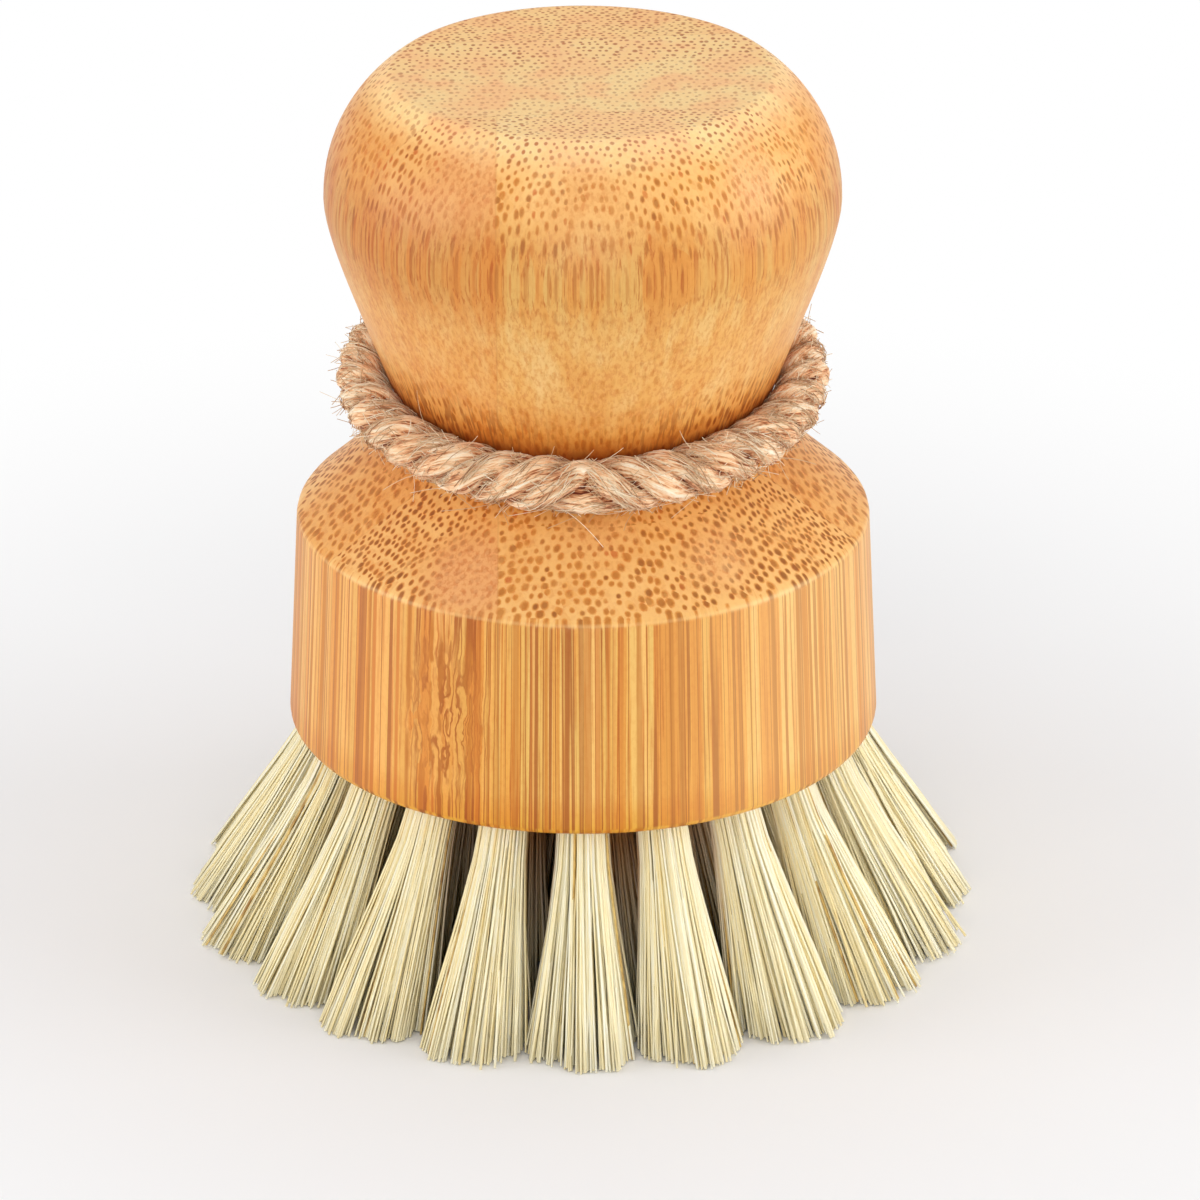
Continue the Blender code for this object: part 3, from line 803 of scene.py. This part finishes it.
@dataclass
class BambooBlock:
    """The block: palm knob, neck, shoulder and base in one turned piece, drilled from below."""

    outline: BlockOutline
    sides: int = 144
    hole_radius: float = 0.0028
    hole_depth: float = 0.0095
    hole_sides: int = 28
    run_in: float = 0.0040
    smooth_below: float = math.radians(24)

    def turn(self) -> bpy.types.Object:
        """Turn the block: a disc at the underside, drawn up ring by ring.

        Returns:
            The undrilled block.
        """
        rings = self.outline.rings()
        first = rings[0]
        deselect_all()
        bpy.ops.mesh.primitive_circle_add(vertices=self.sides, radius=first.x, fill_type="NGON",
                                          location=(0, 0, first.y))
        block = bpy.context.object
        block.name = block.data.name = "turned_block"
        bpy.ops.object.transform_apply(location=True, rotation=True, scale=True)
        bpy.ops.object.mode_set(mode="EDIT")
        bpy.ops.mesh.select_all(action="SELECT")
        for below, above in zip(rings, rings[1:]):
            ratio = above.x / below.x
            bpy.ops.mesh.extrude_region_move(TRANSFORM_OT_translate={"value": (0, 0, above.y - below.y)})
            bpy.ops.transform.resize(value=(ratio, ratio, 1), center_override=(0, 0, above.y))
        bpy.ops.mesh.select_all(action="SELECT")
        bpy.ops.mesh.normals_make_consistent(inside=False)
        bpy.ops.object.mode_set(mode="OBJECT")
        return block

    def drill(self, block: bpy.types.Object) -> None:
        """Drill the splayed blind holes.

        Args:
            block: The turned block.
        """
        deselect_all()
        cutters = []
        depth = self.hole_depth + self.run_in
        for ring in Ring:
            for _, place in ring.value.seats():
                axis = place @ Matrix.Rotation(-ring.value.tilt, 4, "Y")
                seat = axis @ Matrix.Translation((0, 0, (self.hole_depth - self.run_in) / 2))
                bpy.ops.mesh.primitive_cylinder_add(vertices=self.hole_sides, radius=self.hole_radius,
                                                    depth=depth, location=seat.translation,
                                                    rotation=seat.to_euler())
                cutters.append(bpy.context.object)
        for cutter in cutters:
            cutter.select_set(True)
        bpy.ops.object.join()
        cutter = bpy.context.object
        deselect_all()
        bpy.context.view_layer.objects.active = block
        block.select_set(True)
        drilling = block.modifiers.new("drilling", "BOOLEAN")
        drilling.operation = "DIFFERENCE"
        drilling.solver = "EXACT"
        drilling.object = cutter
        bpy.ops.object.modifier_apply(modifier=drilling.name)
        bpy.data.objects.remove(cutter, do_unlink=True)

    def build(self, finish: LaminatedBamboo) -> bpy.types.Object:
        """Turn, drill, smooth and dress the block.

        Args:
            finish: The bamboo.

        Returns:
            The finished block.
        """
        block = self.turn()
        self.drill(block)
        bpy.ops.object.shade_smooth_by_angle(angle=self.smooth_below)
        return dress(block, finish.material(), Slot.BAMBOO, Body.BRUSH, "bamboo_block")


@dataclass
class BristleTufts:
    """The tufts: folded bundles of fibre seated in the splayed holes, fanned out and trimmed level."""

    length: float = 0.0230
    seated: float = 0.0035
    root_radius: float = 0.00245
    fan_out: float = 2.42
    # Real fibres are thinner than this; they are drawn coarser, so that they show
    fibre_radius: float = 0.00019
    points: int = 6
    wander: float = 0.00035
    locks: int = 16
    cling: float = 0.35
    stray_share: float = 0.04
    stray_scatter: float = 0.0013
    reach: float = 0.0061
    trim_scatter: float = 0.0005
    trim_height: float = 0.00012
    tone: float = 0.66
    tone_scatter: float = 0.16
    dark_share: float = 0.03
    dark_tone: float = 0.08
    thickness: tuple[float, float] = (0.75, 1.15)
    tip_share: float = 0.85
    seed: int = 41

    def fibre_lines(self, ring: TuftRing, chance: np.random.Generator) -> np.ndarray:
        """Lay the fibres of one tuft, from inside its hole to the trimmed tips.

        Args:
            ring: The tuft's ring.
            chance: The source of the scatter.

        Returns:
            Middle lines, fibre by point by axis, in the tuft's own place.
        """
        count = ring.fibres
        number = np.arange(count) + 0.5
        away = np.sqrt(number / count)
        turn = number * math.pi * (3 - math.sqrt(5)) + chance.normal(0, 0.25, count)
        cell = np.stack([away * np.cos(turn), away * np.sin(turn)], axis=1)
        cell += chance.normal(0, 0.025, cell.shape)
        root = cell * self.root_radius
        lean = np.array([-math.sin(-ring.tilt), 0.0, -math.cos(ring.tilt)])
        across = np.array([math.cos(ring.tilt), 0.0, math.sin(ring.tilt)])
        mouth = root[:, :1] * across + root[:, 1:] * np.array([0.0, 1.0, 0.0])
        inside = mouth - lean * self.seated
        tip = cell * self.root_radius * self.fan_out
        # Fibres cling together in locks
        lock = cell[chance.integers(0, count, self.locks)]
        nearest = np.argmin(np.linalg.norm(cell[:, None] - lock[None], axis=-1), axis=1)
        tip += (lock[nearest] - cell) * self.root_radius * self.fan_out * self.cling
        tip += chance.normal(0, self.wander, tip.shape)
        strays = chance.random(count) < self.stray_share
        tip[strays] += chance.normal(0, self.stray_scatter, tip[strays].shape)
        tip *= np.minimum(1, self.reach / np.maximum(np.linalg.norm(tip, axis=1, keepdims=True), 1e-9))
        end = np.stack([tip[:, 0] + math.tan(ring.spread) * self.length, tip[:, 1],
                        np.full(count, -self.length)], axis=1)
        end[:, 2] += np.abs(chance.normal(0, self.trim_scatter * 0.5, count))
        leave = mouth + lean * self.length * 0.30
        arrive = end - (end - mouth) * 0.33 + chance.normal(0, self.wander * 0.6, end.shape)
        t = np.linspace(0, 1, self.points - 1)[None, :, None]
        free = cubic(mouth[:, None], leave[:, None], arrive[:, None], end[:, None], t)
        return np.concatenate([inside[:, None], free], axis=1)

    def build(self, finish: PlantFibre) -> list[bpy.types.Object]:
        """Build and dress every tuft.

        Args:
            finish: The fibre.

        Returns:
            The tufts.
        """
        material = finish.material()
        chance = np.random.default_rng(self.seed)
        tufts = []
        for ring in Ring:
            for label, place in ring.value.seats():
                lines = self.fibre_lines(ring.value, chance)
                lines = lines @ np.array(place.to_3x3()).T + np.array(place.translation)
                lines[:, -1, 2] = np.maximum(lines[:, -1, 2], self.trim_height)
                count = len(lines)
                tones = np.clip(chance.normal(self.tone, self.tone_scatter, count), 0.05, 1.0)
                tones[chance.random(count) < self.dark_share] = self.dark_tone
                thick = self.fibre_radius * chance.uniform(*self.thickness, count)[:, None, None]
                taper = np.linspace(1.0, self.tip_share, lines.shape[1])[None, :, None]
                sweep = Sweep(sides=3)
                sweep.add(lines, thick * taper, tones[:, None, None])
                tufts.append(dress(sweep.piece(f"bristles_{label}"), material, Slot.BRISTLE, Body.BRUSH,
                                   f"tuft_{label}"))
        return tufts


@dataclass
class LaidTwine:
    """Three strands laid together along a line."""

    diameter: float
    pitch: float = 0.0122
    strands: int = 3
    sides: int = 28
    step: float = 0.00035
    strand_off: float = 0.48
    strand_radius: float = 0.52
    # Slow swellings of a strand: their share of its radius, and radians for each millimetre
    swells: tuple[tuple[float, float], ...] = ((0.08, 0.9), (0.07, 2.1))
    # Yarns that show as ridges on a strand: how many round it, and how strongly
    ridges: tuple[tuple[int, float], ...] = ((4, 0.5), (7, 0.9), (10, 0.8))
    ridge: float = 0.05
    fibre_slant: float = math.radians(27)
    # Painted shade in the gaps between the strands, and painted light that makes the crowns paler
    gap_shade: float = -0.40
    crown_light: float = 0.44

    def lay(self, sweep: Sweep, line: np.ndarray, turns: np.ndarray, girth: np.ndarray | float,
            chance: np.random.Generator) -> np.ndarray:
        """Lay the strands along a line and add them to a mesh.

        Args:
            sweep: The mesh that takes them.
            line: The twine's middle line, evenly spaced.
            turns: The turn of the lay at each point, in radians.
            girth: Share of the full diameter at each point.
            chance: The source of the unevenness.

        Returns:
            The strands' own middle lines, strand by point by axis.
        """
        tangent = unit(np.gradient(line, axis=0))
        normal = np.empty_like(line)
        normal[0] = unit(np.cross(tangent[0], (0.0, 0.0, 1.0)))
        for number in range(1, len(line)):
            normal[number] = square_to(normal[number - 1], tangent[number])
        side = np.cross(tangent, normal)
        half = self.diameter / 2 * np.broadcast_to(girth, len(line))
        off, radius = half * self.strand_off, half * self.strand_radius
        along = np.arange(len(line)) * self.step / MM
        # The fibres of a strand slant against its lay, so that they run along the whole twine
        lay_side = np.sign(np.gradient(turns))
        lay_angle = np.arctan(np.gradient(turns) / self.step * off)
        skew = math.tan(self.fibre_slant) * np.cumsum(lay_side * self.step / np.cos(lay_angle)) / MM
        around = math.pi + 2 * math.pi * np.arange(self.sides) / self.sides
        showing = np.clip(((0.5 - 0.5 * np.cos(around - math.pi)) - 0.42) / 0.40, 0, 1)
        centres, outward, radii, tones = [], [], [], []
        for strand in range(self.strands):
            angle = turns + 2 * math.pi * strand / self.strands
            out = np.cos(angle)[:, None] * normal + np.sin(angle)[:, None] * side
            centres.append(line + off[:, None] * out)
            outward.append(out)
            swell = 1 + sum(share * np.sin(along * waves + chance.uniform(0, 6.3))
                            for share, waves in self.swells)
            rows = np.ones((len(line), self.sides))
            for waves, share in self.ridges:
                drift = (waves * skew * MM / radius
                         + 1.1 * np.sin(along * chance.uniform(0.3, 0.9) + chance.uniform(0, 6.3)))
                rows += self.ridge * share * np.cos(waves * around[None, :] + drift[:, None])
            radii.append(radius[:, None] * swell[:, None] * rows)
            # Painted shade in the gaps and between the ridges, painted light on the crowns and the ridge
            # tops
            tones.append(np.broadcast_to(self.gap_shade + self.crown_light * showing, rows.shape)
                         + (rows - 1) * 2.0 + chance.uniform(-0.04, 0.04))
        centres = np.stack(centres)
        sweep.add(centres, np.stack(radii), np.stack(tones), np.stack(outward), skew)
        return centres


@dataclass
class TwineLoop:
    """The jute twine round the neck, low in front and knotted at the back, with its loose fibres."""

    outline: BlockOutline
    diameter: float = 0.0056
    clearance: float = 0.0004
    hug: float = 0.00045
    lift: float = 0.0012
    tilt: float = math.radians(6.5)
    knot_width: float = 0.0125
    knot_depth: float = 0.0090
    knot_height: float = 0.0100
    # Fibres that stand off it: how many, their least and greatest length, and the share of the loop
    flying: tuple[tuple[int, tuple[float, float], float], ...] = (
        (3300, (0.5 * MM, 2.1 * MM), 1.0), (70, (2.2 * MM, 6.0 * MM), 0.42))
    flying_radius: float = 0.037 * MM
    lying_fibres: int = 1100
    lying_radius: float = 0.050 * MM
    vary: tuple[float, float] = (0.7, 1.3)
    lay_turn: float = 1.2 * MM
    neck_gap: float = 0.10 * MM
    seed: int = 7

    def height(self, angle: float) -> float:
        """Height of the loop at an angle from +X: lowest in front, highest at the back."""
        half_width = self.outline.waist_radius + self.diameter / 2
        return (self.outline.waist_z + self.lift
                + half_width * (1 + math.sin(angle)) * math.tan(self.tilt))

    def seat_radius(self, height: float, depth: float, tall: float) -> float:
        """Radius at which an oval section just clears the flaring neck.

        Args:
            height: The section's height in metres.
            depth: Its depth, away from the neck.
            tall: Its own height.

        Returns:
            The radius of its middle.
        """
        step = tall / 4
        neck = self.outline.neck_radius
        lean = math.atan((neck(height + step) - neck(height)) / step)
        thickness = math.hypot(depth / 2 * math.cos(lean), tall / 2 * math.sin(lean))
        return neck(height) + (thickness + self.clearance) / math.cos(lean)

    def point(self, angle: float) -> Vector:
        """Point of the loop's middle line at an angle from +X."""
        height = self.height(angle)
        radius = self.seat_radius(height, self.diameter, self.diameter) - self.hug
        return Vector((radius * math.cos(angle), radius * math.sin(angle), height))

    def knot_middle(self) -> Vector:
        """Middle of the knot, behind the neck."""
        height = self.height(math.pi / 2)
        return Vector((0, self.seat_radius(height, self.knot_depth, self.knot_height), height))

    def route(self) -> list[Vector]:
        """The loop's middle line from one side of the knot round the front to the other."""
        half_knot = math.asin((self.knot_width / 2 + self.clearance) / self.point(math.pi / 2).y)
        first, sweep = math.pi / 2 + half_knot, 2 * math.pi - 2 * half_knot
        return [self.point(first + sweep * number / 39) for number in range(40)]

    def clear_of_neck(self, points: np.ndarray) -> np.ndarray:
        """Push points out of the neck.

        Args:
            points: Points of any shape, with the axes last.

        Returns:
            The points, none nearer to the axis than the neck and a small gap.
        """
        radius = np.linalg.norm(points[..., :2], axis=-1)
        least = self.outline.neck_radius(points[..., 2]) + self.neck_gap
        moved = points.copy()
        moved[..., :2] *= (np.maximum(radius, least) / np.maximum(radius, 1e-9))[..., None]
        return moved

    def flyaway_lines(self, line: np.ndarray, chance: np.random.Generator, count: int,
                      reach: tuple[float, float], share: float = 1.0, points: int = 7) -> np.ndarray:
        """Let single fibres stand off the twine.

        Args:
            line: The twine's middle line.
            chance: The source of the scatter.
            count: How many fibres.
            reach: Their least and greatest length in metres.
            share: The share of the line, round its middle, that they stand on.
            points: Points in each.

        Returns:
            Their lines, fibre by point by axis.
        """
        tangent = unit(np.gradient(line, axis=0))
        margin = 2 + int((1 - share) / 2 * len(line))
        spot = chance.integers(margin, len(line) - margin, count)
        forward = tangent[spot] * chance.choice((-1.0, 1.0), count)[:, None]
        away = square_to(unit(chance.normal(0, 1, (count, 3))), forward)
        radial = unit(line[spot] * np.array([1.0, 1.0, 0.0]))
        inward = (away * radial).sum(-1, keepdims=True)
        away = unit(away - np.minimum(inward, -0.1) * radial * 1.2)
        start = line[spot] + away * self.diameter * 0.42
        length = (reach[0] + (reach[1] - reach[0]) * chance.random(count) ** 2)[:, None]
        rise = chance.uniform(0.05, 0.55, count)[:, None]
        bend = unit(chance.normal(0, 1, (count, 3)))
        t = np.linspace(0, 1, points)[None, :, None]
        heading = unit(forward + away * rise)[:, None]
        return (start[:, None] + heading * length[:, None] * t
                + bend[:, None] * length[:, None] * chance.uniform(0.15, 1.1, count)[:, None, None] * t ** 2)

    def surface_lines(self, strands: np.ndarray, line: np.ndarray, chance: np.random.Generator,
                      count: int, points: int = 7) -> np.ndarray:
        """Lay single fibres on the strands, close to their surface.

        Args:
            strands: The strands' middle lines.
            line: The twine's middle line.
            chance: The source of the scatter.
            count: How many fibres.
            points: Points in each.

        Returns:
            Their lines, fibre by point by axis.
        """
        span = chance.integers(8, 18, count)
        first = (chance.random(count) * (len(line) - span - 2)).astype(int) + 1
        pick = chance.integers(0, len(strands), count)
        share = np.linspace(0, 1, points)[None, :]
        index = (first[:, None] + share * span[:, None]).astype(int)
        centre = strands[pick[:, None], index]
        out = unit(centre - line[index])
        tangent = unit(np.gradient(centre, axis=1))
        across = np.cross(tangent, out)
        turn = chance.uniform(-1.1, 1.1, count)[:, None] + chance.uniform(-1.3, 1.3, count)[:, None] * share
        strand = self.diameter / 2 * LaidTwine.strand_radius
        lift = strand + chance.uniform(0.02, 0.22, count)[:, None, None] * MM
        return centre + lift * (np.cos(turn)[..., None] * out + np.sin(turn)[..., None] * across)

    def build(self, finish: JuteYarn, loose: LooseJute) -> tuple[bpy.types.Object, bpy.types.Object]:
        """Build and dress the loop and its loose fibres.

        Args:
            finish: The spun jute.
            loose: The single fibres.

        Returns:
            The loop and its fluff.
        """
        chance = np.random.default_rng(self.seed)
        twine = LaidTwine(self.diameter)
        line = smooth_through(self.route(), twine.step)
        along = (np.arange(len(line)) - 0.5 * len(line)) * twine.step
        # The lay turns back on itself in front, as it does in the photograph
        turns = 2 * math.pi / twine.pitch * np.sqrt(along ** 2 + self.lay_turn ** 2)
        sweep = Sweep(sides=twine.sides)
        strands = twine.lay(sweep, line, turns, 1.0, chance)
        loop = dress(sweep.piece("jute_loop"), finish.material(), Slot.JUTE, Body.TWINE, "twine_loop")

        fuzz = Sweep(sides=3)
        for count, reach, share in self.flying:
            flying = self.flyaway_lines(line, chance, count, reach, share)
            fuzz.add_fibres(self.clear_of_neck(flying), self.flying_radius, self.vary, (0.2, 1.0), chance)
        lying = self.surface_lines(strands, line, chance, self.lying_fibres)
        fuzz.add_fibres(self.clear_of_neck(lying), self.lying_radius, self.vary, (0.0, 1.0), chance)
        fluff = dress(fuzz.piece("jute_fluff"), loose.material(), Slot.JUTE, Body.TWINE)
        return loop, fluff

    def declare(self) -> None:
        route = self.route()


@dataclass
class TwineKnot:
    """The knot that closes the loop: both ends cross, wrap each other and hang down, frayed."""

    loop: TwineLoop
    diameter: float = 0.0046
    pitch: float = 0.0110
    sides: int = 20
    # Share of the full girth at shares of the way: thick where it leaves the loop, and by the cut
    girth_at: tuple[float, ...] = (0, 0.12, 0.25, 0.85, 0.97, 1)
    girth: tuple[float, ...] = (1.2, 1.15, 1.0, 1.0, 1.12, 0.9)
    fray_fibres: int = 90
    lying_fibres: int = 160
    flying_fibres: int = 150
    seed: int = 12
    near_side: tuple[tuple[float, float, float], ...] = (
        (-8.6, -1.5, 0.0), (-6.4, -0.7, 0.1), (-3.6, 1.5, 1.0), (0.0, 2.5, 1.7), (3.2, 1.5, 1.3),
        (4.3, -0.4, -0.6), (2.4, -1.5, -2.4), (-0.6, -0.6, -3.6), (-3.0, 1.4, -4.9), (-5.6, 3.2, -7.6))
    far_side: tuple[tuple[float, float, float], ...] = (
        (8.6, -1.5, 0.0), (6.4, -1.1, 0.2), (3.2, -1.5, 1.5), (0.0, -1.5, 2.3), (-3.2, -0.6, 2.2),
        (-4.3, 1.2, 0.2), (-2.6, 2.5, -1.5), (0.6, 2.6, -2.6), (3.2, 2.6, -4.7), (5.8, 3.3, -7.8))

    def build(self, finish: JuteYarn, loose: LooseJute) -> list[bpy.types.Object]:
        """Build and dress the knot and its frayed ends.

        Args:
            finish: The spun jute.
            loose: The single fibres.

        Returns:
            The knot and the fray.
        """
        chance = np.random.default_rng(self.seed)
        middle = np.array(self.loop.knot_middle())
        twine = LaidTwine(self.diameter, pitch=self.pitch, sides=self.sides)
        sweep, fray = Sweep(sides=twine.sides), Sweep(sides=3)
        for points in (self.near_side, self.far_side):
            line = middle + smooth_through(np.array(points) * MM, twine.step)
            girth = np.interp(np.linspace(0, 1, len(line)), self.girth_at, self.girth)
            turns = np.arange(len(line)) * twine.step * 2 * math.pi / twine.pitch
            strands = twine.lay(sweep, line, turns, girth, chance)
            self.fray_end(fray, line, chance)
            lying = self.loop.surface_lines(strands, line, chance, self.lying_fibres)
            fray.add_fibres(lying, 0.045 * MM, None, (0.0, 1.0), chance)
            flying = self.loop.flyaway_lines(line, chance, self.flying_fibres, (0.5 * MM, 3.0 * MM))
            fray.add_fibres(self.loop.clear_of_neck(flying), 0.035 * MM, None, (0.2, 1.0), chance)
        knot = dress(sweep.piece("jute_knot"), finish.material(), Slot.JUTE, Body.TWINE, "twine_knot")
        ends = dress(fray.piece("jute_fray"), loose.material(), Slot.JUTE, Body.TWINE)
        return [knot, ends]

    def fray_end(self, fray: Sweep, line: np.ndarray, chance: np.random.Generator) -> None:
        """Fan single fibres out of a cut end.

        Args:
            fray: The mesh that takes them.
            line: The end's middle line.
            chance: The source of the scatter.
        """
        heading = unit(line[-1] - line[-8])
        away = square_to(unit(chance.normal(0, 1, (self.fray_fibres, 3))), heading)
        place = np.sqrt(chance.random(self.fray_fibres))[:, None]
        start = line[-6] + away * place * self.diameter * 0.45
        length = chance.uniform(2.2, 4.6, self.fray_fibres)[:, None] * MM
        t = np.linspace(0, 1, 5)[None, :, None]
        flare = away * place * chance.uniform(0.1, 0.8, self.fray_fibres)[:, None]
        lines = start[:, None] + heading * length[:, None] * t + flare[:, None] * length[:, None] * t ** 1.6
        fray.add_fibres(lines, 0.05 * MM, None, (0.1, 0.9), chance)


@dataclass
class Studio:
    """Pale floor, soft light and the camera."""

    lens: float = 220.4
    sensor: float = 36.0
    camera_place: tuple[float, float, float] = (0.00181, -0.720, 0.3677)
    pitch_down: float = math.radians(24.78)
    aim: tuple[float, float, float] = (0.0, 0.0, 0.05)
    sky: float = 0.54
    # Place and side in metres and power in watts of each softbox
    softboxes: tuple[tuple[tuple[float, float, float], float, float], ...] = (
        ((-0.30, -0.65, 0.75), 0.6, 0.85), ((0.0, -0.80, 0.12), 0.5, 2.2),
        ((0.85, -0.14, 0.14), 0.6, 4.875), ((-0.85, -0.14, 0.14), 0.6, 3.9), ((0.05, 0.25, 0.95), 0.8, 2.2))

    def camera(self) -> None:
        """Put up the camera at the photograph's viewing angle."""
        deselect_all()
        bpy.ops.object.camera_add(location=self.camera_place,
                                  rotation=(math.pi / 2 - self.pitch_down, 0, 0))
        camera = bpy.context.object
        camera.data.lens = self.lens
        camera.data.sensor_width = self.sensor
        bpy.context.scene.camera = camera

    def floor(self) -> None:
        """Lay a floor that takes the shadow near the brush and looks plain white further off."""
        deselect_all()
        bpy.ops.mesh.primitive_plane_add(size=4.0)
        floor = bpy.context.object
        floor.name = "studio_floor"
        material, node, shader = new_material("matt_white_floor")
        fade = node(SMOOTH, node(LENGTH, node(COORDINATES).outputs["Object"]), 0.06, 0.17)
        path = node(LIGHT_PATH).outputs
        seen = node(MAXIMUM, path["Is Camera Ray"], path["Is Glossy Ray"])
        seen = node(MAXIMUM, seen, path["Is Transmission Ray"])
        white = node(EMISSION, "#FFFFFF", 1.0)
        fill(shader, {"Base Color": "#F4F4F5", "Roughness": 0.9, "Specular IOR Level": 0.1})
        fill(material.node_tree.nodes["Material Output"],
             node(MIX_SHADER, node(MULTIPLY, fade, seen), shader, white))
        floor.data.materials.append(material)

    def build(self) -> None:
        """Put up the floor, the lights and the world."""
        self.floor()
        for place, size, energy in self.softboxes:
            facing = (Vector(self.aim) - Vector(place)).to_track_quat("-Z", "Y").to_euler()
            bpy.ops.object.light_add(type="AREA", location=place, rotation=facing)
            lamp = bpy.context.object.data
            lamp.size, lamp.energy = size, energy
        world = bpy.data.worlds.new("studio")
        bpy.context.scene.world = world
        world.use_nodes = True
        node = functools.partial(add_node, world.node_tree)
        path = node(LIGHT_PATH).outputs
        seen = node(MAXIMUM, path["Is Camera Ray"], path["Is Transmission Ray"])
        fill(world.node_tree.nodes["Background"], "#FFFFFF", node(RANGE, seen, 0.0, 1.0, self.sky, 1.0))
        bpy.context.scene.view_settings.view_transform = "Standard"


def main() -> None:
    """Build the brush in order: camera, twine, block, tufts and studio."""
    logging.basicConfig(level=logging.INFO, format="%(name)s: %(message)s")
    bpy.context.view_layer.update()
    studio = Studio()
    studio.camera()
    outline = BlockOutline()
    loop = TwineLoop(outline)
    jute, loose = JuteYarn(), LooseJute()
    loop_piece, fluff = loop.build(jute, loose)
    knot_pieces = TwineKnot(loop).build(jute, loose)
    loop.declare()
    BambooBlock(outline).build(LaminatedBamboo())
    BristleTufts().build(PlantFibre())
    studio.build()


if __name__ == "__main__":
    main()
